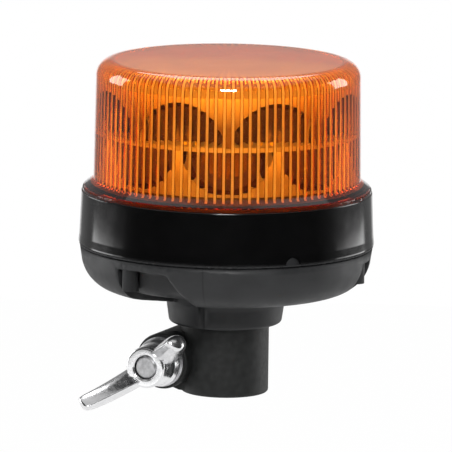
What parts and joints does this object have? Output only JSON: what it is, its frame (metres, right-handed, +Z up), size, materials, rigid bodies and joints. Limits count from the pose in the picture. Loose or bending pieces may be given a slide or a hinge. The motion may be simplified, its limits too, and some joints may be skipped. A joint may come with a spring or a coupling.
{
  "type": "flashing beacon",
  "caption": "Amber flashing beacon: ribbed drum lens over staggered reflectors, black band, bowl base and a rubber pole socket clamped by a wing nut.",
  "frame": {"origin": "centre of the pole socket's mouth, on the pole axis", "axes": "+Z up along the pole axis; the wing nut faces -Y and its clamp lug is on the -X side"},
  "size_m": [0.1298, 0.1298, 0.1505],
  "materials": {
    "lens_amber": "clear amber, polished, ribbed inside",
    "band_black": "high gloss black",
    "bowl_charcoal": "fine spark-eroded charcoal grain",
    "seal_rubber": "matt",
    "socket_rubber": "matt, slightly dusty",
    "stud_zinc": "zinc plated",
    "nut_chrome": "bright plated casting",
    "screw_steel": "zinc plated",
    "carrier_black": "moulded",
    "contact_brass": "bright",
    "reflector_silver": "metallised",
    "board_white": "white solder mask",
    "led_yellow": "phosphor dome",
    "aluminium": "turned",
    "board_green": "green solder mask",
    "can_aluminium": "drawn can",
    "coil_copper": "enamelled winding",
    "chip_black": "moulded",
    "terminal_grey": "moulded",
    "spring_steel": "drawn wire",
    "lead_red": "insulated wire",
    "lead_black": "insulated wire",
    "plate_steel": "stamped"
  },
  "bodies": {
    "housing": {"lens_dome": "lens_amber", "bezel_ring": "band_black", "base_bowl": "bowl_charcoal", "base_seal": "seal_rubber", "rubber_socket": "socket_rubber", "nut_washer": "stud_zinc", "housing_screws": "screw_steel", "contact_carrier": "carrier_black", "earth_contact": "contact_brass", "lens_seal": "seal_rubber", "lower_reflector": "reflector_silver", "upper_reflector": "reflector_silver", "led_board": "board_white", "lower_leds": "led_yellow", "upper_leds": "led_yellow", "centre_post": "aluminium", "stack_screws": "screw_steel", "post_screws": "screw_steel", "driver_board": "board_green", "driver_screws": "screw_steel", "capacitors": "can_aluminium", "choke_coil": "coil_copper", "controller_chip": "chip_black", "supply_terminal": "terminal_grey", "contact_cap": "contact_brass", "contact_spring": "spring_steel", "supply_lead": "lead_red", "earth_lead": "lead_black", "led_leads": "lead_red", "socket_retainer": "plate_steel", "retainer_screws": "screw_steel"},
    "wing_nut": {"wing_nut": "nut_chrome"},
    "clamp_cotter": {"clamp_cotter": "stud_zinc"},
    "centre_contact": {"centre_contact": "contact_brass"}
  },
  "joints": [
    {"name": "wing_nut_turn", "type": "hinge", "parent": "housing", "child": "wing_nut", "pos_m": [-0.02, -0.033, 0.015], "axis": [0, -1, 0], "range_deg": [0, 720]},
    {"name": "cotter_slide", "type": "slide", "parent": "housing", "child": "clamp_cotter", "axis": [0, 1, 0], "range_m": [0, 0.003]},
    {"name": "contact_press", "type": "slide", "parent": "housing", "child": "centre_contact", "axis": [0, 0, 1], "range_m": [0, 0.003], "stiffness_N_per_m": 600, "springref_m": -0.003, "deforming": ["contact_spring"]}
  ],
  "couplings": [
    {"joint": "wing_nut_turn", "follows": "cotter_slide", "rad_per_m": 4188.8}
  ]
}
